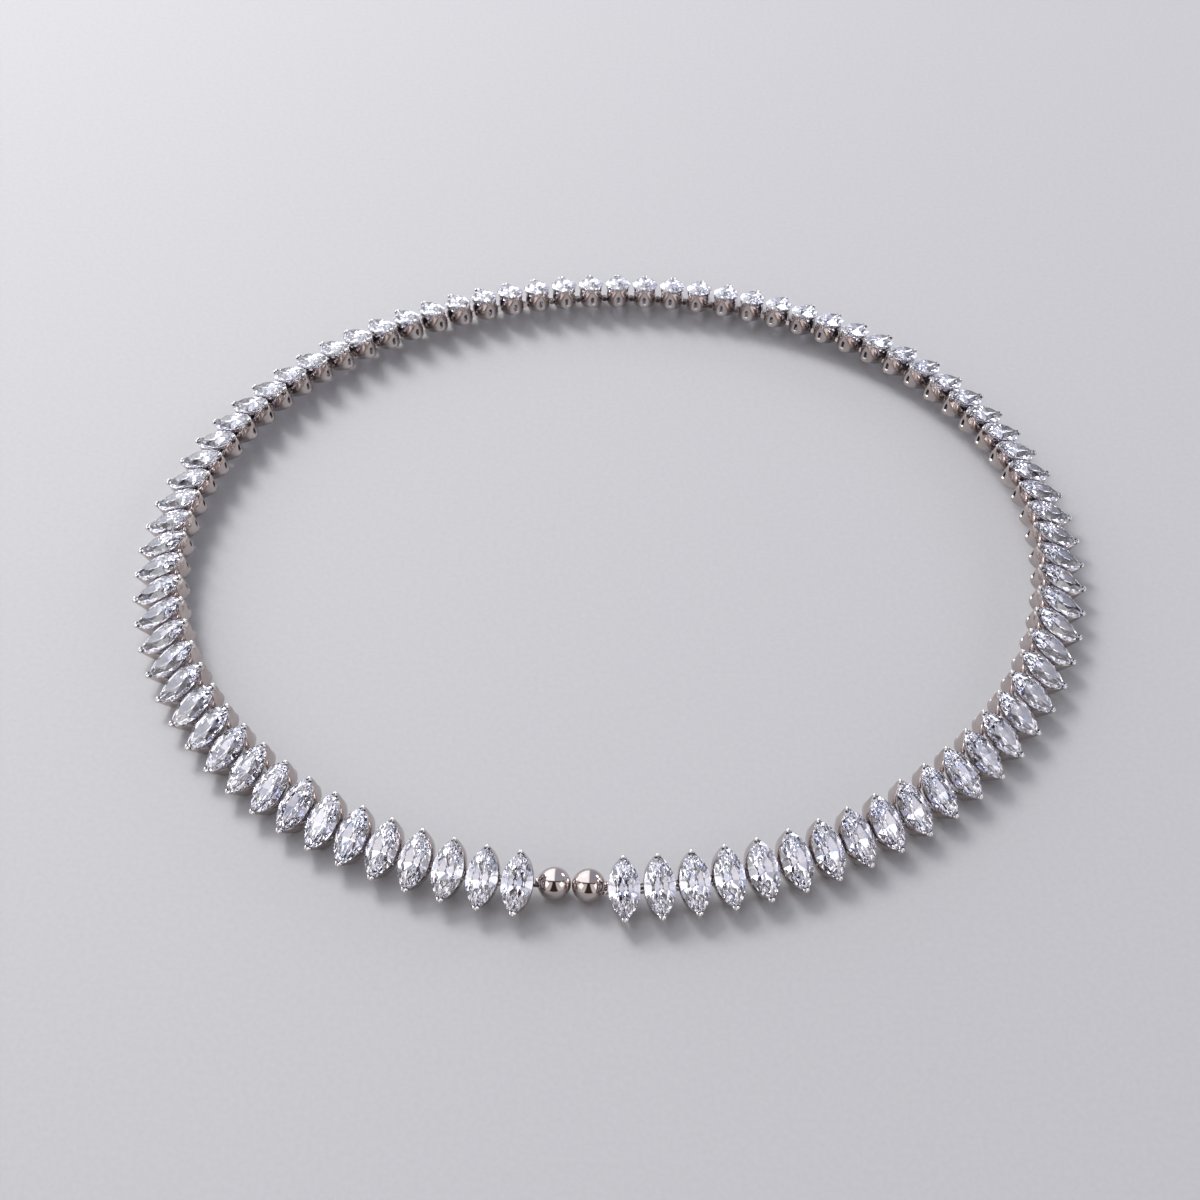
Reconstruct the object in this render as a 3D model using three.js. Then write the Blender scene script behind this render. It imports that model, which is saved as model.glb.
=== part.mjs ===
// A tennis necklace of marquise stones, closed in a loop and lying on a table.
// Eighty-five stones stand side by side across the chain, each in its own open basket setting with one
// claw over each point, and a clasp of two polished balls closes the loop at the front.
// Millimetres, +Z up. The origin is the middle of the loop on the table, and the front of the loop is at -Y.

import * as THREE from 'three';

// ---- The loop ----
const LOOP_LENGTH = 381; // 15 in round the hinges
const LINKS = 85;
const BALLS = 2;
const PLACES = LINKS + BALLS;
const PITCH = LOOP_LENGTH / PLACES;
const OVAL = 0.046; // how much longer and shorter the half axes are than their mean
const OVAL_TURN = 11; // degrees that the long axis is turned from X
const CLASP_START = -104; // degrees round the oval where the two balls meet
const TILT_MEAN = 29; // degrees that a link leans outwards
const TILT_SWING = 5; // degrees more at the front and less at the back

// ---- One link, measured in its own frame from the hinge line ----
const GIRDLE_UP = 2.3; // the widest line of the stone
const BASE_DOWN = 0.8; // the bottom of the setting
const HINGE_GAP = 0.3; // between the lugs of two links, and between the lugs and the clasp
const SEPARATE_LINKS = 10; // links next to each ball whose stone and setting are solids of their own
const STRETCH_LINKS = 5; // links in each joined stretch round the back

// ---- The clasp ----
const BALL_RADIUS = 2.13;
const BALL_INSET = 0.6; // the balls lie this far inside the hinge line
const BOSS_RADIUS = 0.6;
const BOSS_HEIGHT = 0.25;
const BALL_SIDES = 12;
const BALL_ROWS = 6;

// An eight-cornered section across a stone or a setting. `end` is half its length, `blunt` half the width
// of its cut-off end, and `corner` and `side` place the corners of its long sides. `endUp` and `sideUp`
// are the heights of the ends and of the long sides above the hinge line. The seat is pointed like the
// stone, and the base below it has broad rounded ends.
const TABLE = { end: 2.2, blunt: 0.2, corner: 0.75, side: 1.05, endUp: 3.05, sideUp: 3.05 };
const GIRDLE = { end: 3.4, blunt: 0.22, corner: 1.3, side: 1.93, endUp: GIRDLE_UP, sideUp: GIRDLE_UP };
const SEAT_OUTSIDE = { end: 4.1, blunt: 0.35, corner: 1.3, side: 1.75, endUp: 1.85, sideUp: 1.75 };
const SEAT_INSIDE = { end: 3.75, blunt: 0.3, corner: 1.0, side: 1.2, endUp: 1.7, sideUp: 1.25 };
const BASE_OUTSIDE = { end: 3.6, blunt: 0.85, corner: 2.3, side: 1.85, endUp: -BASE_DOWN, sideUp: -BASE_DOWN };
const BASE_INSIDE = { end: 2.9, blunt: 0.55, corner: 1.8, side: 1.25, endUp: -BASE_DOWN, sideUp: -BASE_DOWN };
const KEEL = { half: 1.4, up: 0.6 }; // the ridge under the stone
const CLAW = { up: 2.9, outer: 3.98, outerHalf: 0.3, inner: 3.55, innerHalf: 0.24 };
const LUG = { half: 0.7, top: 0.5, bottom: -0.5 };

// Places round a section's eight sides.
const OUTER_END = 0;
const FORWARD_SIDE = 2;
const INNER_END = 4;
const BACKWARD_SIDE = 6;
const CORNERS = 8;

const metal = new THREE.MeshStandardMaterial({ color: 0xd3cfd0, roughness: 0.12, metalness: 1 });
const crystal = new THREE.MeshStandardMaterial({ color: 0xdfe2f0, roughness: 0.03, flatShading: true });

// ---- A closed skin built from rings of corners ----
class Skin {
  constructor() {
    this.points = [];
    this.triangles = [];
  }

  addPoints(points) {
    return points.map((point) => this.points.push(point) - 1);
  }

  addQuad([a, b, c, d]) {
    this.triangles.push([a, b, c], [a, c, d]);
  }

  addQuads(quads, left = []) {
    quads.forEach((quad, i) => {
      if (!left.includes(i)) this.addQuad(quad);
    });
  }

  // Walls from the edges of one quad to the matching corners of another.
  addWalls(quad, far) {
    quad.forEach((corner, i) => {
      const next = (i + 1) % quad.length;
      this.addQuad([corner, quad[next], far[next], far[i]]);
    });
  }

  // A block standing on a quad.
  addBlock(quad, topPoints) {
    const top = this.addPoints(topPoints);
    this.addWalls(quad, top);
    this.addQuad(top);
  }

  geometry() {
    const corners = this.triangles.flat().flatMap((i) => this.points[i].toArray());
    const geometry = new THREE.BufferGeometry();
    geometry.setAttribute('position', new THREE.Float32BufferAttribute(corners, 3));
    geometry.computeVertexNormals();
    return geometry;
  }
}

// The quads between two rings, facing out when the first ring is above the second.
function band(above, below) {
  return above.map((corner, i) => {
    const next = (i + 1) % CORNERS;
    return [corner, below[i], below[next], above[next]];
  });
}

function sectionPoints(section, matrix) {
  const { end, blunt, corner, side, endUp, sideUp } = section;
  const points = [
    new THREE.Vector3(end, -blunt, section.outerEndUp ?? endUp),
    new THREE.Vector3(end, blunt, section.outerEndUp ?? endUp),
    new THREE.Vector3(corner, side, sideUp),
    new THREE.Vector3(-corner, side, sideUp),
    new THREE.Vector3(-end, blunt, endUp),
    new THREE.Vector3(-end, -blunt, endUp),
    new THREE.Vector3(-corner, -side, sideUp),
    new THREE.Vector3(corner, -side, sideUp),
  ];
  return points.map((point) => point.applyMatrix4(matrix));
}

// ---- Places round the loop ----
function makeLoop() {
  const start = THREE.MathUtils.degToRad(CLASP_START);
  const turn = THREE.MathUtils.degToRad(OVAL_TURN);
  const oval = (size) => {
    const curve = new THREE.EllipseCurve(
      0, 0, size * (1 + OVAL), size * (1 - OVAL), start, start + 2 * Math.PI, false, turn,
    );
    curve.arcLengthDivisions = 2000;
    return curve;
  };
  return oval(LOOP_LENGTH / oval(1).getLength());
}

const loop = makeLoop();

// The frame of a link: X along its stone and outwards, Y on round the loop, Z out through the stone's
// table. The foot under the outer end of its setting stands on the table.
function linkFrame(place) {
  const point = loop.getPointAt(place / PLACES);
  const ahead = loop.getTangentAt(place / PLACES);
  const tilt = THREE.MathUtils.degToRad(TILT_MEAN - (TILT_SWING * point.y) / point.length());
  const height = BASE_DOWN * Math.cos(tilt) + BASE_INSIDE.end * Math.sin(tilt);
  const matrix = new THREE.Matrix4().makeBasis(
    new THREE.Vector3(ahead.y, -ahead.x, 0),
    new THREE.Vector3(ahead.x, ahead.y, 0),
    new THREE.Vector3(0, 0, 1),
  );
  matrix.multiply(new THREE.Matrix4().makeRotationY(tilt));
  matrix.setPosition(point.x, point.y, height);
  return { matrix, tilt };
}

// The rail under the outer end is bevelled so that its foot lies flat on the table.
function footedBase(tilt) {
  const bevel = (BASE_OUTSIDE.end - BASE_INSIDE.end) * Math.tan(tilt);
  return { ...BASE_OUTSIDE, outerEndUp: BASE_OUTSIDE.endUp + bevel };
}

// ---- Features of a link ----
// A claw stands on the seat's end and leans over the point of the stone; `way` is 1 for the outer end.
function clawTop(way, matrix) {
  const { up, outer, outerHalf, inner, innerHalf } = CLAW;
  const points = [
    new THREE.Vector3(way * inner, -way * innerHalf, up),
    new THREE.Vector3(way * outer, -way * outerHalf, up),
    new THREE.Vector3(way * outer, way * outerHalf, up),
    new THREE.Vector3(way * inner, way * innerHalf, up),
  ];
  return points.map((point) => point.applyMatrix4(matrix));
}

function lugEnd(way, reach, matrix) {
  const { half, top, bottom } = LUG;
  const points = [
    new THREE.Vector3(way * half, way * reach, top),
    new THREE.Vector3(way * half, way * reach, bottom),
    new THREE.Vector3(-way * half, way * reach, bottom),
    new THREE.Vector3(-way * half, way * reach, top),
  ];
  return points.map((point) => point.applyMatrix4(matrix));
}

const LUG_REACH = (PITCH - HINGE_GAP) / 2;
const CLASP_LUG_REACH = PITCH - BALL_RADIUS - BOSS_HEIGHT - HINGE_GAP;

// Closes a ring below with the stone's keel.
function addKeel(skin, ring, matrix) {
  const ends = [
    new THREE.Vector3(KEEL.half, 0, KEEL.up).applyMatrix4(matrix),
    new THREE.Vector3(-KEEL.half, 0, KEEL.up).applyMatrix4(matrix),
  ];
  const [outer, inner] = skin.addPoints(ends);
  const keel = [outer, outer, outer, inner, inner, inner, inner, outer];
  band(ring, keel).forEach(([a, b, c, d]) => {
    skin.triangles.push([a, b, d]);
    if (b !== c) skin.triangles.push([b, c, d]);
  });
}

function addTable(skin, ring) {
  for (let i = 2; i < CORNERS; i += 1) skin.triangles.push([ring[0], ring[i - 1], ring[i]]);
}

// ---- The solids ----
function stoneGeometry() {
  const still = new THREE.Matrix4();
  const skin = new Skin();
  const table = skin.addPoints(sectionPoints(TABLE, still));
  const girdle = skin.addPoints(sectionPoints(GIRDLE, still));
  addTable(skin, table);
  skin.addQuads(band(table, girdle));
  addKeel(skin, girdle, still);
  return skin.geometry();
}

// An open basket: a wall round an oval hole, with a claw at each end and a hinge lug on each side.
function settingGeometry(tilt, backReach, aheadReach) {
  const still = new THREE.Matrix4();
  const skin = new Skin();
  const sections = [SEAT_OUTSIDE, footedBase(tilt), BASE_INSIDE, SEAT_INSIDE];
  const rings = sections.map((section) => skin.addPoints(sectionPoints(section, still)));
  const [seatOut, baseOut, baseIn, seatIn] = rings;
  const seat = band(seatIn, seatOut);
  const wall = band(seatOut, baseOut);
  skin.addQuads(seat, [OUTER_END, INNER_END]);
  skin.addQuads(wall, [FORWARD_SIDE, BACKWARD_SIDE]);
  skin.addQuads(band(baseOut, baseIn));
  skin.addQuads(band(baseIn, seatIn));
  skin.addBlock(seat[OUTER_END], clawTop(1, still));
  skin.addBlock(seat[INNER_END], clawTop(-1, still));
  skin.addBlock(wall[FORWARD_SIDE], lugEnd(1, aheadReach, still));
  skin.addBlock(wall[BACKWARD_SIDE], lugEnd(-1, backReach, still));
  return skin.geometry();
}

// A run of links in one solid: each stone is joined to its setting, and the lugs meet at the hinges.
function stretchGeometry(places) {
  const skin = new Skin();
  let hinge = null;
  places.forEach((place) => {
    const { matrix, tilt } = linkFrame(place);
    const sections = [TABLE, GIRDLE, SEAT_OUTSIDE, footedBase(tilt), BASE_INSIDE, SEAT_INSIDE];
    const rings = sections.map((section) => skin.addPoints(sectionPoints(section, matrix)));
    const [table, girdle, seatOut, baseOut, baseIn, seatIn] = rings;
    const undercut = band(girdle, seatOut);
    const wall = band(seatOut, baseOut);
    addTable(skin, table);
    skin.addQuads(band(table, girdle));
    skin.addQuads(undercut, [OUTER_END, INNER_END]);
    skin.addQuads(wall, [FORWARD_SIDE, BACKWARD_SIDE]);
    skin.addQuads(band(baseOut, baseIn));
    skin.addQuads(band(baseIn, seatIn));
    addKeel(skin, seatIn, matrix);
    skin.addBlock(undercut[OUTER_END], clawTop(1, matrix));
    skin.addBlock(undercut[INNER_END], clawTop(-1, matrix));
    if (hinge) skin.addWalls(wall[BACKWARD_SIDE], [...hinge].reverse());
    else skin.addBlock(wall[BACKWARD_SIDE], lugEnd(-1, LUG_REACH, matrix));
    if (place === places.at(-1)) {
      skin.addBlock(wall[FORWARD_SIDE], lugEnd(1, LUG_REACH, matrix));
    } else {
      hinge = skin.addPoints(lugEnd(1, 0, linkFrame(place + 0.5).matrix));
      skin.addWalls(wall[FORWARD_SIDE], hinge);
    }
  });
  return skin.geometry();
}

// One half of the magnetic clasp: a ball with a flat face towards the other ball and a low boss
// towards its first link.
function ballGeometry() {
  const face = (PITCH - HINGE_GAP) / 2;
  const bossEnd = BALL_RADIUS + BOSS_HEIGHT;
  const first = Math.acos(face / BALL_RADIUS);
  const last = Math.PI - Math.asin(BOSS_RADIUS / BALL_RADIUS);
  const profile = [new THREE.Vector2(0, -face)];
  for (let row = 0; row <= BALL_ROWS; row += 1) {
    const angle = first + ((last - first) * row) / BALL_ROWS;
    profile.push(new THREE.Vector2(BALL_RADIUS * Math.sin(angle), -BALL_RADIUS * Math.cos(angle)));
  }
  profile.push(new THREE.Vector2(BOSS_RADIUS, bossEnd), new THREE.Vector2(0, bossEnd));
  return new THREE.LatheGeometry(profile, BALL_SIDES);
}

// ---- The necklace ----
const necklace = new THREE.Group();

function addMesh(name, geometry, material, matrix = new THREE.Matrix4()) {
  const mesh = new THREE.Mesh(geometry, material);
  mesh.name = name;
  mesh.applyMatrix4(matrix);
  necklace.add(mesh);
}

function addBall(name, place, way) {
  const { x, y } = loop.getPointAt(place / PLACES);
  const ahead = loop.getTangentAt(place / PLACES).multiplyScalar(way);
  const out = new THREE.Vector2(x, y).normalize();
  const matrix = new THREE.Matrix4().makeBasis(
    new THREE.Vector3(ahead.y, -ahead.x, 0),
    new THREE.Vector3(ahead.x, ahead.y, 0),
    new THREE.Vector3(0, 0, 1),
  );
  matrix.setPosition(x - BALL_INSET * out.x, y - BALL_INSET * out.y, BALL_RADIUS);
  addMesh(name, ballGeometry(), metal, matrix);
}

const linkPlace = (link) => link + 0.5;
const twoDigits = (number) => String(number).padStart(2, '0');

addBall('clasp_ball_right', 0.5, 1);
addBall('clasp_ball_left', PLACES - 0.5, -1);

for (let step = 1; step <= SEPARATE_LINKS; step += 1) {
  const sides = [
    { side: 'right', link: step, backReach: step === 1 ? CLASP_LUG_REACH : LUG_REACH, aheadReach: LUG_REACH },
    {
      side: 'left',
      link: LINKS + 1 - step,
      backReach: LUG_REACH,
      aheadReach: step === 1 ? CLASP_LUG_REACH : LUG_REACH,
    },
  ];
  sides.forEach(({ side, link, backReach, aheadReach }) => {
    const { matrix, tilt } = linkFrame(linkPlace(link));
    const setting = settingGeometry(tilt, backReach, aheadReach);
    addMesh(`setting_${side}_${twoDigits(step)}`, setting, metal, matrix);
    addMesh(`stone_${side}_${twoDigits(step)}`, stoneGeometry(), crystal, matrix);
  });
}

const STRETCHES = (LINKS - 2 * SEPARATE_LINKS) / STRETCH_LINKS;
for (let stretch = 0; stretch < STRETCHES; stretch += 1) {
  const first = SEPARATE_LINKS + 1 + stretch * STRETCH_LINKS;
  const places = Array.from({ length: STRETCH_LINKS }, (_, i) => linkPlace(first + i));
  addMesh(`links_stretch_${twoDigits(stretch + 1)}`, stretchGeometry(places), metal);
}

export default necklace;
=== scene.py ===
import math
import random

import bmesh
import bpy
from mathutils import Matrix, Vector


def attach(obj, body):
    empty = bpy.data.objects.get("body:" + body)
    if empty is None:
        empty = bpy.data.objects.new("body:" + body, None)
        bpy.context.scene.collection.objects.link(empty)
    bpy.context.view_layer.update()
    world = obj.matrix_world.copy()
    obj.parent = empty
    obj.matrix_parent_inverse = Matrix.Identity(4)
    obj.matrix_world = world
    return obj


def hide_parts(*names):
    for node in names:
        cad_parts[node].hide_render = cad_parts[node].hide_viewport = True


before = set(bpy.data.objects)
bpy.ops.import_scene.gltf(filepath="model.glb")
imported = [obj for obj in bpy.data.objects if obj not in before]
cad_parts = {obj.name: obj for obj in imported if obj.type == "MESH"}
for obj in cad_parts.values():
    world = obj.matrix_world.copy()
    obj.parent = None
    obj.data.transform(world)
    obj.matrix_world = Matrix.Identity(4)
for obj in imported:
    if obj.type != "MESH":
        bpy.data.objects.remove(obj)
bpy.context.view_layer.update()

# Pieces are made in millimetres, and each is brought to metres when it is finished.
MM = 0.001


# ---- The loop ----
# The necklace lies closed on a table in a slightly oval loop. Every stone and every ball of the
# clasp takes one place on it, and each link leans outwards until its foot lies on the table.
LOOP_LENGTH = 381.0
LINKS = 85
PLACES = LINKS + 2
PITCH = LOOP_LENGTH / PLACES
OVAL = 0.046
OVAL_TURN = math.radians(11)
CLASP_START = math.radians(-104)
LOOP_STEPS = 2000
TILT_MEAN = 29
TILT_SWING = 5
BASE_DOWN = 0.8
FOOT_OUT = 2.9


def on_oval(angle, size):
    """A point of the loop and the way that the loop runs there."""
    half_long = size * (1 + OVAL)
    half_short = size * (1 - OVAL)
    turn = Matrix.Rotation(OVAL_TURN, 3, "Z")
    point = Vector((half_long * math.cos(angle), half_short * math.sin(angle), 0))
    ahead = Vector((-half_long * math.sin(angle), half_short * math.cos(angle), 0))
    return turn @ point, (turn @ ahead).normalized()


def measure_oval(size):
    """The length of the loop up to each of its steps, beginning where the two balls meet."""
    lengths = [0.0]
    last = on_oval(CLASP_START, size)[0]
    for step in range(1, LOOP_STEPS + 1):
        point = on_oval(CLASP_START + 2 * math.pi * step / LOOP_STEPS, size)[0]
        lengths.append(lengths[-1] + (point - last).length)
        last = point
    return lengths


OVAL_SIZE = LOOP_LENGTH / measure_oval(1.0)[-1]
OVAL_LENGTHS = measure_oval(OVAL_SIZE)


def on_loop(place):
    """The point and direction of the loop at a place, counted in pitches from between the balls."""
    length = place * PITCH
    step = 0
    while OVAL_LENGTHS[step + 1] < length:
        step += 1
    part = (length - OVAL_LENGTHS[step]) / (OVAL_LENGTHS[step + 1] - OVAL_LENGTHS[step])
    return on_oval(CLASP_START + 2 * math.pi * (step + part) / LOOP_STEPS, OVAL_SIZE)


def link_matrix(link):
    """Where a link lies: X along its stone outwards, Y on round the loop, Z out of its table."""
    point, ahead = on_loop(link + 0.5)
    tilt = math.radians(TILT_MEAN - TILT_SWING * point.y / point.length)
    out = Vector((ahead.y, -ahead.x, 0))
    point.z = BASE_DOWN * math.cos(tilt) + FOOT_OUT * math.sin(tilt)
    upright = Matrix((out, ahead, (0, 0, 1))).transposed().to_4x4()
    return Matrix.Translation(point) @ upright @ Matrix.Rotation(tilt, 4, "Y")


# The links in the order of the pieces: ten single links on each side of the clasp, and between them
# thirteen stretches of five links.
SINGLE_LINKS = 10
STRETCH_LINKS = 5
link_groups = {}
for number in range(1, SINGLE_LINKS + 1):
    link_groups[f"right_{number:02d}"] = [number]
    link_groups[f"left_{number:02d}"] = [LINKS + 1 - number]
for stretch in range((LINKS - 2 * SINGLE_LINKS) // STRETCH_LINKS):
    first = SINGLE_LINKS + 1 + stretch * STRETCH_LINKS
    link_groups[f"stretch_{stretch + 1:02d}"] = list(range(first, first + STRETCH_LINKS))


# ---- The stones ----
# Eighty-five marquise brilliants of cubic zirconia, 8 by 4 mm. Each is ground from a block, facet
# by facet: the outline first, then the crown and the table, and then the pavilion and its keel.
BLOCK_SIZE = (8.4, 4.4, 4.0)
STONE_HALF_LENGTH = 4.0
STONE_HALF_WIDTH = 2.0
ARC_RADIUS = (STONE_HALF_LENGTH**2 + STONE_HALF_WIDTH**2) / (2 * STONE_HALF_WIDTH)
GIRDLE_UP = 2.3
GIRDLE_HALF = 0.06
TABLE_UP = 0.74
CUT_TOLERANCE = 1e-5
TIP_ANGLE = math.acos(STONE_HALF_LENGTH / ARC_RADIUS)
STONE_SHAKE = math.radians(1.6)


def outline_reach(turn):
    """How far the marquise outline reaches in a direction, turned from its long axis."""
    if abs(math.cos(turn)) > math.cos(TIP_ANGLE):
        return STONE_HALF_LENGTH * abs(math.cos(turn))
    return ARC_RADIUS - (ARC_RADIUS - STONE_HALF_WIDTH) * abs(math.sin(turn))


def grind(turn, slope, side, inset=0.0, start=GIRDLE_HALF):
    """Grinds one flat facet. It faces `turn` degrees from the long axis and slopes `slope` degrees
    from the girdle, above it for side 1 and below for side -1, and begins `inset` in at `start`."""
    turn, slope = math.radians(turn), math.radians(slope)
    out = Vector((math.cos(turn), math.sin(turn), 0))
    normal = out * math.sin(slope) + Vector((0, 0, side * math.cos(slope)))
    touch = out * (outline_reach(turn) - inset) + Vector((0, 0, side * start))
    bpy.ops.mesh.select_all(action="SELECT")
    bpy.ops.mesh.bisect(
        plane_co=touch,
        plane_no=normal,
        use_fill=True,
        clear_outer=True,
        threshold=CUT_TOLERANCE,
    )


def all_round(turns):
    """The same directions on all four quarters of a marquise."""
    turns = [(way * turn + half) % 360 for turn in turns for way in (1, -1) for half in (0, 180)]
    return sorted(set(round(turn, 3) for turn in turns))


bpy.ops.object.select_all(action="DESELECT")
bpy.ops.mesh.primitive_cube_add(size=1, scale=BLOCK_SIZE)
cut_stone = bpy.context.object
cut_stone.name = "cut_marquise"
bpy.ops.object.transform_apply(scale=True)
bpy.ops.object.mode_set(mode="EDIT")
# Each facet by its turn, its slope and, on the inner tiers, how far in it begins.
OUTLINE_TURNS = (39, 46, 53, 60, 67, 74, 81, 88)
CROWN_MAINS = ((90, 35), (61, 33), (0, 27))
CROWN_BREAKS = ((82, 40), (70, 39.5), (53, 38.5), (42, 37.5))
CROWN_STARS = ((76, 20, 0.62), (44, 19, 0.8))
STARS_UP = 0.56
PAVILION_BREAKS = ((86, 50), (78, 49.5), (70, 49), (62, 48), (54, 47), (46, 46), (40, 45))
PAVILION_MAINS = ((90, 42.5), (74, 42), (58, 41.5), (47, 41), (0, 38))
MAINS_INSET = 0.07
PAVILION_KEEL = ((82, 36, 0.95), (64, 35, 1.05), (50, 34, 1.2))
KEEL_DOWN = 1.05
for turn in all_round(OUTLINE_TURNS):
    grind(turn, 90, 1)
for turn, slope in CROWN_MAINS + CROWN_BREAKS:
    for each in all_round((turn,)):
        grind(each, slope, 1)
for turn, slope, inset in CROWN_STARS:
    for each in all_round((turn,)):
        grind(each, slope, 1, inset, start=STARS_UP)
grind(0, 0, 1, start=TABLE_UP)
for turn, slope in PAVILION_BREAKS:
    for each in all_round((turn,)):
        grind(each, slope, -1)
for turn, slope in PAVILION_MAINS:
    for each in all_round((turn,)):
        grind(each, slope, -1, inset=MAINS_INSET)
for turn, slope, inset in PAVILION_KEEL:
    for each in all_round((turn,)):
        grind(each, slope, -1, inset, start=KEEL_DOWN)
bpy.ops.mesh.select_all(action="SELECT")
bpy.ops.mesh.normals_make_consistent(inside=False)
bpy.ops.object.mode_set(mode="OBJECT")


def linear(code):
    """A screen colour such as 8a7f7b as linear light."""
    parts = [int(code[i:i + 2], 16) / 255 for i in (0, 2, 4)]
    return [p / 12.92 if p <= 0.04045 else ((p + 0.055) / 1.055) ** 2.4 for p in parts] + [1.0]


def add_node(tree, kind, inputs=None, **settings):
    """Adds a node, sets its settings, and fills or links its inputs."""
    node = tree.nodes.new(kind)
    for name, value in settings.items():
        setattr(node, name, value)
    for socket, value in (inputs or {}).items():
        if isinstance(value, bpy.types.NodeSocket):
            tree.links.new(value, node.inputs[socket])
        else:
            node.inputs[socket].default_value = value
    return node


def new_material(name):
    """A new material with its shader, output and object coordinates."""
    material = bpy.data.materials.new(name)
    material.use_nodes = True
    tree = material.node_tree
    tree.nodes.clear()
    shader = add_node(tree, "ShaderNodeBsdfPrincipled")
    add_node(tree, "ShaderNodeOutputMaterial", {"Surface": shader.outputs["BSDF"]})
    place = add_node(tree, "ShaderNodeTexCoord").outputs["Object"]
    return material, tree, shader, place


# A noise seldom leaves these limits.
NOISE_LOW = 0.3
NOISE_HIGH = 0.7


def add_noise(tree, place, size, detail):
    """A noise whose patches are about `size` millimetres across."""
    inputs = {"Vector": place, "Scale": 1 / (size * MM), "Detail": detail}
    return add_node(tree, "ShaderNodeTexNoise", inputs).outputs["Fac"]


def add_range(tree, noise, low, high):
    """Turns a noise into a value between two limits."""
    inputs = {"From Min": NOISE_LOW, "From Max": NOISE_HIGH, "To Min": low, "To Max": high}
    return add_node(tree, "ShaderNodeMapRange", {"Value": noise, **inputs}).outputs["Result"]


def add_ramp(tree, value, stops):
    """Turns a value into a colour, by a list of positions and screen colours."""
    node = add_node(tree, "ShaderNodeValToRGB", {"Fac": value})
    elements = node.color_ramp.elements
    while len(elements) < len(stops):
        elements.new(0.5)
    for element, (position, code) in zip(elements, stops):
        element.position = position
        element.color = linear(code)
    return node.outputs["Color"]


def add_bump(tree, height, strength, distance):
    """Turns a noise into fine bumps, `distance` millimetres deep."""
    inputs = {"Height": height, "Strength": strength, "Distance": distance * MM}
    return add_node(tree, "ShaderNodeBump", inputs).outputs["Normal"]


# Cubic zirconia, polished on the wheel: clear and hard, with a high index that throws the light
# back. Its colour is painted in soft patches, from blue and lavender to a little warm: painted fire
# of split colours and painted reflections.
zirconia, tree, shader, place = new_material("cubic_zirconia_cut")
PAINTED_FIRE_COLOURS = (
    (0.28, "c9d6ff"),
    (0.40, "eceeff"),
    (0.52, "fbfaff"),
    (0.64, "e9e9fb"),
    (0.76, "fff3ea"),
)
painted_fire = add_noise(tree, place, size=1.3, detail=1.0)
tree.links.new(add_ramp(tree, painted_fire, PAINTED_FIRE_COLOURS), shader.inputs["Base Color"])
shader.inputs["Roughness"].default_value = 0.0
shader.inputs["IOR"].default_value = 2.16
shader.inputs["Transmission Weight"].default_value = 1.0
cut_stone.data.materials.append(zirconia)


def gather(name, pattern, places):
    """Copies a finished pattern to each place and joins the copies as one piece."""
    bpy.ops.object.select_all(action="DESELECT")
    copies = []
    for matrix in places:
        copy = pattern.copy()
        copy.data = pattern.data.copy()
        bpy.context.collection.objects.link(copy)
        copy.data.transform(matrix)
        copy.select_set(True)
        copies.append(copy)
    bpy.context.view_layer.objects.active = copies[0]
    if len(copies) > 1:
        bpy.ops.object.join()
    piece = bpy.context.view_layer.objects.active
    piece.name = name
    return piece


def to_metres(piece):
    """Brings a piece that was made in millimetres to metres."""
    piece.data.transform(Matrix.Scale(MM, 4))


chance = random.Random(85)
for group, links in link_groups.items():
    places = []
    for link in links:
        shake = Matrix.Rotation(chance.uniform(-1, 1) * STONE_SHAKE, 4, "X")
        rock = Matrix.Rotation(chance.uniform(-1, 1) * STONE_SHAKE, 4, "Y")
        places.append(link_matrix(link) @ Matrix.Translation((0, 0, GIRDLE_UP)) @ shake @ rock)
    stones = gather(f"marquise_{group}", cut_stone, places)
    to_metres(stones)
    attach(stones, "root")
    if len(links) == 1:
        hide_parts(f"stone_{group}")
    else:
        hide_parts(f"links_{group}")
bpy.data.objects.remove(cut_stone)


# ---- The settings ----
# Eighty-five cast silver baskets, polished and plated. An oval rail stands below each stone, and at
# both ends it rises in a curved, slit plate that narrows to a claw over the stone's point. A thin
# seat runs under the girdle, and a hinge on each long side joins the basket to the next.
RAIL_END = 3.58
RAIL_SIDE = 1.9
RAIL_POINTS = 20
RAIL_TOP = -0.1
METAL = 0.34
PLATE_ROWS = (
    # height, where it leaves the side, how far out its point is, half its width, its pinch there
    (0.45, 0.95, 3.74, 1.9, 1.0),
    (1.0, 1.35, 3.9, 1.74, 0.88),
    (1.6, 2.0, 4.04, 1.4, 0.8),
    (2.2, 3.2, 4.14, 0.76, 0.75),
)
ROW_TOLERANCE = 0.01
SLIT_HALF = 0.4
SLIT_FROM = 3
FOOT_WIDE = 1.2
SEAT_INSET = 0.14
SEAT_WIDE = 0.28
SEAT_UP = 1.66
SEAT_HIGH = 0.3
SEAT_STEPS = 14
CLAW_OUT = 3.86
CLAW_UP = 2.46
CLAWS = (
    # which end, half sizes of an arm, how far aside it stands, its turn, where its painted shade
    # begins
    (1, (0.44, 0.25, 0.34), 0.2, 36, 0.24),
    (-1, (0.42, 0.19, 0.3), 0.15, 34, 0.1),
)
KNUCKLE_SIDES = 12
KNUCKLE_RADIUS = 0.42
KNUCKLE_UP = -0.1
KNUCKLE_EDGE = 0.06
KNUCKLES = (
    # which way it reaches, how far out it sits on the pin, its length
    (1, 0, 0.4),
    (-1, 0.52, 0.34),
    (-1, -0.52, 0.34),
)
SETTING_CREASE = math.radians(38)


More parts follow.
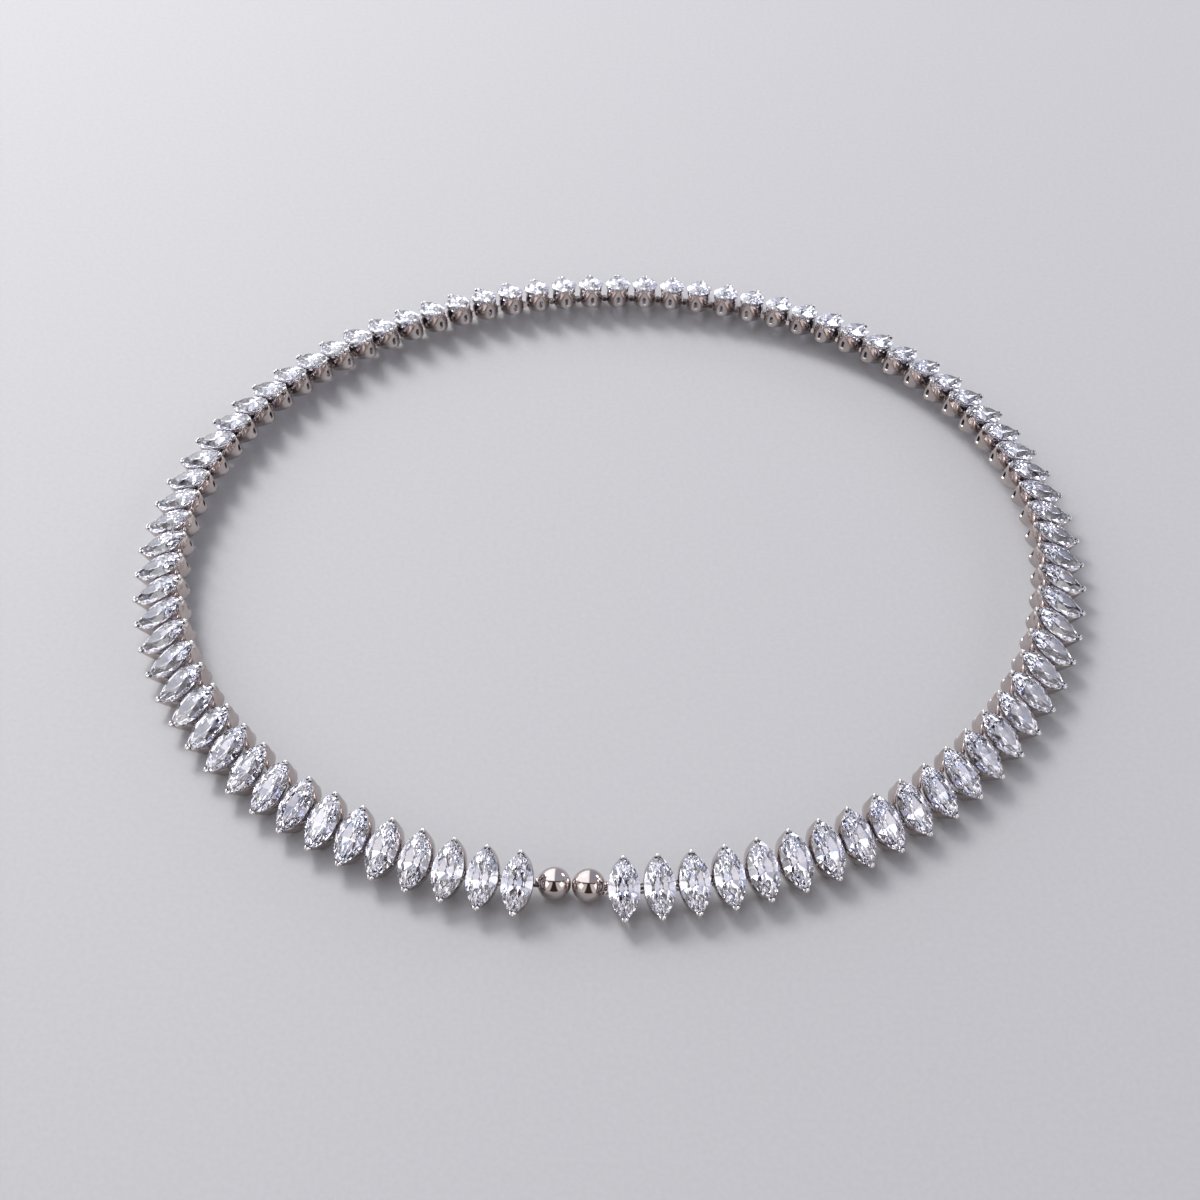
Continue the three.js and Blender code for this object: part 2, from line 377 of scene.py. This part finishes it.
def pick(piece, kind, test):
    """Selects only those corners, edges or faces whose middle passes the test."""
    bpy.ops.mesh.select_mode(type=kind)
    bpy.ops.mesh.select_all(action="DESELECT")
    form = bmesh.from_edit_mesh(piece.data)
    parts = {"VERT": form.verts, "EDGE": form.edges, "FACE": form.faces}[kind]
    for part in parts:
        corners = [part] if kind == "VERT" else part.verts
        middle = sum((corner.co for corner in corners), Vector()) / len(corners)
        part.select_set(test(middle))
    form.select_flush_mode()
    bmesh.update_edit_mesh(piece.data)


# Sterling silver with a bright plating, cast and then polished by hand: a mirror with a warm
# pinkish grey body, slightly hazed where the wheel didn't reach.
silver, tree, shader, place = new_material("plated_silver_polished")
haze = add_noise(tree, place, size=0.9, detail=3.0)
tone = add_noise(tree, place, size=2.2, detail=2.0)
grain = add_noise(tree, place, size=0.15, detail=2.0)
colour = add_ramp(tree, tone, [(0.3, "b6aba8"), (0.7, "c8bfbc")])
tree.links.new(colour, shader.inputs["Base Color"])
tree.links.new(add_range(tree, haze, low=0.08, high=0.2), shader.inputs["Roughness"])
tree.links.new(add_bump(tree, grain, strength=0.15, distance=0.01), shader.inputs["Normal"])
shader.inputs["Metallic"].default_value = 1.0

# Inside, where no wheel reaches, the silver keeps its dull, rough skin from the mould. Its dark
# brownish colour is painted shade for the hollows inside the basket.
cast_skin_and_shade, tree, shader, place = new_material("silver_cast_skin_and_painted_shade")
skin = add_noise(tree, place, size=0.4, detail=4.0)
colour = add_ramp(tree, skin, [(0.3, "5d5350"), (0.7, "7c716d")])
tree.links.new(colour, shader.inputs["Base Color"])
tree.links.new(add_bump(tree, skin, strength=0.4, distance=0.03), shader.inputs["Normal"])
shader.inputs["Roughness"].default_value = 0.5
shader.inputs["Metallic"].default_value = 1.0

# The claws are rubbed down over the stone with a burnisher, which leaves them whiter and brighter.
burnished, tree, shader, place = new_material("plated_silver_burnished")
rubbed = add_noise(tree, place, size=0.3, detail=2.0)
colour = add_ramp(tree, rubbed, [(0.3, "cdcac9"), (0.7, "dedcdb")])
tree.links.new(colour, shader.inputs["Base Color"])
tree.links.new(add_range(tree, rubbed, low=0.04, high=0.14), shader.inputs["Roughness"])
shader.inputs["Metallic"].default_value = 1.0

# The inner upper half of each claw, where it is pressed down on its stone, is painted near black in
# patches: painted shade and a painted dark reflection.
claw_painted_shade, tree, shader, place = new_material("claw_painted_shade_and_reflection")
shade_patches = add_noise(tree, place, size=2.5, detail=1.0)
colour = add_ramp(tree, shade_patches, [(0.5, "2a2625"), (0.62, "a59c9a")])
tree.links.new(colour, shader.inputs["Base Color"])
shader.inputs["Roughness"].default_value = 0.3
shader.inputs["Metallic"].default_value = 1.0

# The rail and its plates: an oval ring of sheet, whose ends are drawn up row by row.
bpy.ops.object.select_all(action="DESELECT")
bpy.ops.mesh.primitive_circle_add(vertices=RAIL_POINTS, radius=1, location=(0, 0, 0))
basket = bpy.context.object
basket.name = "basket"
basket.data.materials.append(silver)
basket.data.materials.append(cast_skin_and_shade)
bpy.ops.object.mode_set(mode="EDIT")
half_step = math.pi / RAIL_POINTS
bpy.ops.transform.rotate(value=half_step, orient_axis="Z", center_override=(0, 0, 0))
bpy.ops.transform.resize(value=(RAIL_END, RAIL_SIDE, 1))
bpy.ops.transform.translate(value=(0, 0, -BASE_DOWN))
bpy.ops.mesh.extrude_region_move(TRANSFORM_OT_translate={"value": (0, 0, RAIL_TOP + BASE_DOWN)})
for way in (1, -1):
    last_up, last_root = RAIL_TOP, RAIL_END * math.sin(half_step)
    last_end, last_half = RAIL_END, RAIL_SIDE
    for up, root, end, half, pinch in PLATE_ROWS:
        pick(
            basket,
            "EDGE",
            lambda at: way * at.x > last_root + ROW_TOLERANCE and at.z > last_up - ROW_TOLERANCE,
        )
        rise = (way * (root - last_root), 0, up - last_up)
        bpy.ops.mesh.extrude_region_move(TRANSFORM_OT_translate={"value": rise})
        grow = ((end - root) / (last_end - last_root), half / last_half, 1)
        bpy.ops.transform.resize(value=grow, center_override=(way * root, 0, up))
        pick(basket, "VERT", lambda at: way * at.x > (root + end) / 2 and at.z > up - ROW_TOLERANCE)
        bpy.ops.transform.resize(value=(1, pinch, 1), center_override=(0, 0, up))
        last_up, last_root, last_end, last_half = up, root, end, half


def in_slit(at):
    """Whether a face lies where the slit of a plate is cut out."""
    at_end = abs(at.y) < SLIT_HALF and abs(at.x) > SLIT_FROM
    return at_end and RAIL_TOP < at.z < PLATE_ROWS[1][0]


pick(basket, "FACE", in_slit)
bpy.ops.mesh.delete(type="FACE")
pick(basket, "EDGE", lambda at: at.z < ROW_TOLERANCE - BASE_DOWN)
bpy.ops.mesh.extrude_region_move(TRANSFORM_OT_translate={"value": (0, 0, 0)})
inward = (1 - FOOT_WIDE / RAIL_END, 1 - FOOT_WIDE / RAIL_SIDE, 1)
bpy.ops.transform.resize(value=inward, center_override=(0, 0, -BASE_DOWN))
bpy.ops.mesh.select_all(action="SELECT")
bpy.ops.mesh.normals_make_consistent(inside=False)
form = bmesh.from_edit_mesh(basket.data)
tip = max(form.faces, key=lambda face: face.calc_center_median().x)
if tip.normal.x < 0:
    bpy.ops.mesh.flip_normals()
bpy.ops.object.mode_set(mode="OBJECT")
wall = basket.modifiers.new("wall", "SOLIDIFY")
wall.thickness = METAL
wall.offset = -1
# The inner side of the wall takes the cast skin, whose dark colour is painted shade for the
# hollows.
wall.material_offset = 1
bpy.ops.object.modifier_apply(modifier=wall.name)
soft = basket.modifiers.new("soft", "SUBSURF")
soft.levels = 1
soft.render_levels = 1
bpy.ops.object.modifier_apply(modifier=soft.name)

# The seat: a square wire bent along each side of the stone.
seats = []
seat_radius = ARC_RADIUS - SEAT_INSET - SEAT_WIDE / 2
seat_swing = math.pi - 2 * TIP_ANGLE
arc_middle = STONE_HALF_WIDTH - ARC_RADIUS
for half_turn in (0, math.pi):
    bpy.ops.object.select_all(action="DESELECT")
    bpy.ops.mesh.primitive_plane_add(size=1, location=(0, 0, 0))
    seat = bpy.context.object
    bpy.ops.object.mode_set(mode="EDIT")
    bpy.ops.transform.resize(value=(SEAT_WIDE, SEAT_HIGH, 1))
    bpy.ops.transform.rotate(value=math.pi / 2, orient_axis="X", center_override=(0, 0, 0))
    bpy.ops.transform.translate(value=(seat_radius, 0, 0))
    bpy.ops.transform.rotate(value=-TIP_ANGLE, orient_axis="Z", center_override=(0, 0, 0))
    bpy.ops.transform.translate(value=(0, arc_middle, SEAT_UP))
    bpy.ops.mesh.spin(
        steps=SEAT_STEPS, angle=-seat_swing, center=(0, arc_middle, 0), axis=(0, 0, 1)
    )
    bpy.ops.mesh.select_all(action="SELECT")
    bpy.ops.transform.rotate(value=half_turn, orient_axis="Z", center_override=(0, 0, 0))
    bpy.ops.mesh.normals_make_consistent(inside=False)
    bpy.ops.object.mode_set(mode="OBJECT")
    seat.data.materials.append(silver)
    seats.append(seat)

# The claws: a V of two rounded arms over each point of the stone.
claws = []
for way, half_sizes, aside, turn, shade_in in CLAWS:
    for arm in (1, -1):
        bpy.ops.object.select_all(action="DESELECT")
        bpy.ops.mesh.primitive_ico_sphere_add(subdivisions=2, radius=1, location=(0, 0, 0))
        claw = bpy.context.object
        matrix = Matrix.Translation((way * CLAW_OUT, arm * aside, CLAW_UP))
        matrix = matrix @ Matrix.Rotation(-way * arm * math.radians(turn), 4, "Z")
        claw.data.transform(matrix @ Matrix.Diagonal((*half_sizes, 1)))
        claw.data.materials.append(burnished)
        claw.data.materials.append(claw_painted_shade)
        bpy.ops.object.mode_set(mode="EDIT")
        # The inner upper faces of the claw take the painted shade and reflection.
        pick(claw, "FACE", lambda at: way * at.x < CLAW_OUT - shade_in and at.z > CLAW_UP)
        claw.active_material_index = 1
        bpy.ops.object.material_slot_assign()
        bpy.ops.object.mode_set(mode="OBJECT")
        claws.append(claw)

# The hinges: one knuckle reaches forward and two reach back, on the pin shared with the next link.
knuckles = []
for ahead, out, length in KNUCKLES:
    bpy.ops.object.select_all(action="DESELECT")
    bpy.ops.mesh.primitive_cylinder_add(
        vertices=KNUCKLE_SIDES, radius=KNUCKLE_RADIUS, depth=length, location=(0, 0, 0)
    )
    knuckle = bpy.context.object
    bpy.ops.object.mode_set(mode="EDIT")
    bpy.ops.transform.rotate(value=math.pi / 2, orient_axis="Y", center_override=(0, 0, 0))
    bpy.ops.transform.translate(value=(out, ahead * PITCH / 2, KNUCKLE_UP))
    bpy.ops.mesh.bevel(offset=KNUCKLE_EDGE, segments=1, affect="EDGES")
    bpy.ops.object.mode_set(mode="OBJECT")
    # The knuckle that reaches forward takes the cast skin, whose dark colour is painted shade in
    # the hinge.
    knuckle.data.materials.append(cast_skin_and_shade if ahead > 0 else silver)
    knuckles.append(knuckle)

bpy.ops.object.select_all(action="DESELECT")
for part in [basket] + seats + claws + knuckles:
    part.select_set(True)
bpy.context.view_layer.objects.active = basket
bpy.ops.object.join()
bpy.ops.object.shade_smooth_by_angle(angle=SETTING_CREASE)

# The feet are filed flat where they touch the table.
for group, links in link_groups.items():
    settings = gather(f"basket_{group}", basket, [link_matrix(link) for link in links])
    bpy.ops.object.mode_set(mode="EDIT")
    bpy.ops.mesh.select_all(action="SELECT")
    bpy.ops.mesh.bisect(
        plane_co=(0, 0, 0),
        plane_no=(0, 0, 1),
        use_fill=True,
        clear_inner=True,
        threshold=CUT_TOLERANCE,
    )
    bpy.ops.object.mode_set(mode="OBJECT")
    to_metres(settings)
    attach(settings, "root")
    if len(links) == 1:
        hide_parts(f"setting_{group}")
    else:
        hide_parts(f"links_{group}")
bpy.data.objects.remove(basket)


# ---- The clasp ----
# Two polished steel balls that hold together by magnets inside them. Each has a small flat where it
# meets the other and a low boss that carries the hinge of its first link.
BALL_SEGMENTS = 48
BALL_RINGS = 32
BALL_RADIUS = 2.13
BALL_INSET = 0.6
BALL_FLAT = 2.1
BOSS_RADIUS = 0.62
BOSS_HEIGHT = 0.25
BOSS_EDGE = 0.08
CAP_TOLERANCE = 0.001
BALL_CREASE = math.radians(35)

# Stainless steel, turned and polished: a cleaner mirror than the silver, in the same warm grey.
steel, tree, shader, place = new_material("steel_mirror_polished")
haze = add_noise(tree, place, size=0.8, detail=3.0)
tone = add_noise(tree, place, size=3.0, detail=1.0)
colour = add_ramp(tree, tone, [(0.3, "b9aeaa"), (0.7, "c6bcb8")])
tree.links.new(colour, shader.inputs["Base Color"])
tree.links.new(add_range(tree, haze, low=0.02, high=0.06), shader.inputs["Roughness"])
shader.inputs["Metallic"].default_value = 1.0

for side, ball_place, way in (("right", 0.5, 1), ("left", PLACES - 0.5, -1)):
    point, ahead = on_loop(ball_place)
    ahead = ahead * way
    bpy.ops.object.select_all(action="DESELECT")
    bpy.ops.mesh.primitive_uv_sphere_add(
        segments=BALL_SEGMENTS, ring_count=BALL_RINGS, radius=BALL_RADIUS, location=(0, 0, 0)
    )
    ball = bpy.context.object
    ball.name = f"ball_{side}"
    bpy.ops.object.mode_set(mode="EDIT")
    bpy.ops.mesh.bisect(
        plane_co=(0, 0, -BALL_FLAT),
        plane_no=(0, 0, 1),
        use_fill=True,
        clear_inner=True,
        threshold=CUT_TOLERANCE,
    )
    rim = BALL_RADIUS * math.cos(math.asin(BOSS_RADIUS / BALL_RADIUS))
    bpy.ops.mesh.select_all(action="SELECT")
    bpy.ops.mesh.bisect(
        plane_co=(0, 0, rim),
        plane_no=(0, 0, 1),
        use_fill=True,
        clear_outer=True,
        threshold=CUT_TOLERANCE,
    )
    pick(ball, "FACE", lambda at: at.z > rim - CAP_TOLERANCE)
    rise = (0, 0, BALL_RADIUS + BOSS_HEIGHT - rim)
    bpy.ops.mesh.extrude_region_move(TRANSFORM_OT_translate={"value": rise})
    bpy.ops.mesh.bevel(offset=BOSS_EDGE, segments=2, affect="EDGES")
    bpy.ops.mesh.select_all(action="SELECT")
    bpy.ops.mesh.normals_make_consistent(inside=False)
    bpy.ops.object.mode_set(mode="OBJECT")
    bpy.ops.object.shade_smooth_by_angle(angle=BALL_CREASE)
    point = point - BALL_INSET * point.normalized()
    turned = Matrix(((ahead.y, -ahead.x, 0), (0, 0, -1), ahead)).transposed().to_4x4()
    ball.data.transform(Matrix.Translation((point.x, point.y, BALL_RADIUS)) @ turned)
    ball.data.materials.append(steel)
    to_metres(ball)
    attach(ball, "root")
    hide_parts(f"clasp_ball_{side}")


# ---- The table, the light and the camera ----
# A plain pale table in soft window light from behind on the left, with small cards in front at both
# sides. The dark parts of the room give the polished metal and the stones something to show.
TABLE_SIZE = 6.0
bpy.ops.object.select_all(action="DESELECT")
bpy.ops.mesh.primitive_plane_add(size=TABLE_SIZE, location=(0, 0, 0))
table = bpy.context.object
table.name = "table"

# Matt painted board: its fibres show only as a faint change of tone.
board, tree, shader, place = new_material("matt_board_pale")
fibre = add_noise(tree, place, size=0.7, detail=2.0)
colour = add_ramp(tree, fibre, [(0.3, "c9c9cc"), (0.7, "cdcdd0")])
tree.links.new(colour, shader.inputs["Base Color"])
shader.inputs["Roughness"].default_value = 0.65
table.data.materials.append(board)

SOFTBOXES = (
    # name, where it stands (m), its size (m), its power (W), its colour
    ("key_left", (-0.29, 0.38, 0.45), (0.22, 0.22), 2.3, "fffdfb"),
    ("key_right", (0.42, 0.36, 0.2), (0.16, 0.16), 0.4, "eef2ff"),
    ("card_left", (-0.46, -0.27, 0.27), (0.3, 0.32), 0.45, "ffffff"),
    ("card_right", (0.46, -0.27, 0.27), (0.26, 0.3), 0.35, "ffffff"),
)
for name, where, size, power, code in SOFTBOXES:
    lamp = bpy.data.lights.new(name, "AREA")
    lamp.shape = "RECTANGLE"
    lamp.size, lamp.size_y = size
    lamp.energy = power
    lamp.color = linear(code)[:3]
    softbox = bpy.data.objects.new(name, lamp)
    bpy.context.collection.objects.link(softbox)
    softbox.location = where
    softbox.rotation_euler = (-Vector(where)).to_track_quat("-Z", "Y").to_euler()

# The room by direction: the walls are light in front at the sides and behind, and dark over the
# middle. A dim shape stands in front, and the window fills the back on the left up to overhead.
# Light that the table scatters counts for less, so that it stays a soft grey.
BACK_WAY = (0.0, 0.81, 0.586)
WALLS = ((0.0, "d9d6d8"), (0.2, "cfcbcc"), (0.24, "2c2522"), (0.29, "2c2522"), (0.35, "a4a6b2"))
WALLS_SEEN = 1.3
WALLS_SCATTERED = 0.32
SHAPE_HALF = 0.4
SHAPE_SOFT = 0.1
SHAPE_LEAN = 0.3
SHAPE_TOP = (0.27, 0.22)
WINDOW_EDGE = (0.1, -0.02)
WINDOW_FOOT = (0.33, 0.39)
WINDOW_SEEN = 2.0
WINDOW_SCATTERED = 1.1
DIM = 0.8
world = bpy.data.worlds.new("studio")
bpy.context.scene.world = world
world.use_nodes = True
tree = world.node_tree
tree.nodes.clear()
ray = add_node(tree, "ShaderNodeLightPath")
heading = add_node(tree, "ShaderNodeTexCoord").outputs["Generated"]
axes = add_node(tree, "ShaderNodeSeparateXYZ", {0: heading})
back = add_node(tree, "ShaderNodeVectorMath", {0: heading, 1: BACK_WAY}, operation="DOT_PRODUCT")
behind = back.outputs["Value"]
scattered = ray.outputs["Is Diffuse Ray"]
aside = add_node(tree, "ShaderNodeMath", {0: axes.outputs["X"]}, operation="ABSOLUTE")
lean = {0: axes.outputs["Z"], 1: SHAPE_LEAN, 2: aside.outputs[0]}
aside = add_node(tree, "ShaderNodeMath", lean, operation="MULTIPLY_ADD").outputs[0]


# These four add to the nodes of the room.
def fade(value, start, end):
    """A share that goes from 0 where the value is at its start to 1 at its end."""
    share = {"Value": value, "From Min": start, "From Max": end}
    return add_node(tree, "ShaderNodeMapRange", share).outputs[0]


def both(one, other):
    """The share that two shares have in common."""
    return add_node(tree, "ShaderNodeMath", {0: one, 1: other}, operation="MULTIPLY").outputs[0]


def strength(seen, dimmed):
    """How bright a part of the room is: as seen or mirrored, or dimmed where its light scatters."""
    light = {"Value": scattered, "To Min": seen, "To Max": dimmed}
    return add_node(tree, "ShaderNodeMapRange", light).outputs[0]


def lay_over(under, share, code, light):
    """Lays an evenly lit part of the room over the rest, as far as its share says."""
    lit = add_node(tree, "ShaderNodeBackground", {"Color": linear(code), "Strength": light})
    return add_node(tree, "ShaderNodeMixShader", {0: share, 1: under, 2: lit.outputs[0]}).outputs[0]


walls = {
    "Color": add_ramp(tree, behind, WALLS),
    "Strength": strength(WALLS_SEEN, WALLS_SCATTERED),
}
room = add_node(tree, "ShaderNodeBackground", walls).outputs[0]
shape = both(fade(aside, SHAPE_HALF + SHAPE_SOFT, SHAPE_HALF), fade(behind, *SHAPE_TOP))
room = lay_over(room, shape, "4a3f3b", DIM)
window = both(fade(axes.outputs["X"], *WINDOW_EDGE), fade(behind, *WINDOW_FOOT))
room = lay_over(room, window, "f8f9ff", strength(WINDOW_SEEN, WINDOW_SCATTERED))
room = lay_over(room, ray.outputs["Is Camera Ray"], "d4d3d6", DIM)
add_node(tree, "ShaderNodeOutputWorld", {"Surface": room})

# The camera looks down at the clasp's side of the loop through a short telephoto lens.
CAMERA_LENS = 60.66
SENSOR_WIDE = 36
NEAREST_SEEN = 0.01
CAMERA_FAR = 0.2888
CAMERA_UP = math.radians(47.84)
CAMERA_ROLL = math.radians(1.49)
LOOK_AT = Vector((-1.65 * MM, -7.18 * MM, 0))
lens = bpy.data.cameras.new("camera")
lens.sensor_width = SENSOR_WIDE
lens.lens = CAMERA_LENS
lens.clip_start = NEAREST_SEEN
camera = bpy.data.objects.new("camera", lens)
bpy.context.collection.objects.link(camera)
camera.location = LOOK_AT + CAMERA_FAR * Vector((0, -math.cos(CAMERA_UP), math.sin(CAMERA_UP)))
turned = (LOOK_AT - camera.location).to_track_quat("-Z", "Y").to_matrix()
camera.rotation_euler = (turned @ Matrix.Rotation(CAMERA_ROLL, 3, "Z")).to_euler()
bpy.context.scene.camera = camera
bpy.context.scene.view_settings.view_transform = "Standard"

# Light turns round many times inside a cut stone before it comes out, so it is followed longer.
STONE_BOUNCES = 24
METAL_BOUNCES = 16
paths = bpy.context.scene.cycles
paths.max_bounces = STONE_BOUNCES
paths.transmission_bounces = STONE_BOUNCES
paths.glossy_bounces = METAL_BOUNCES
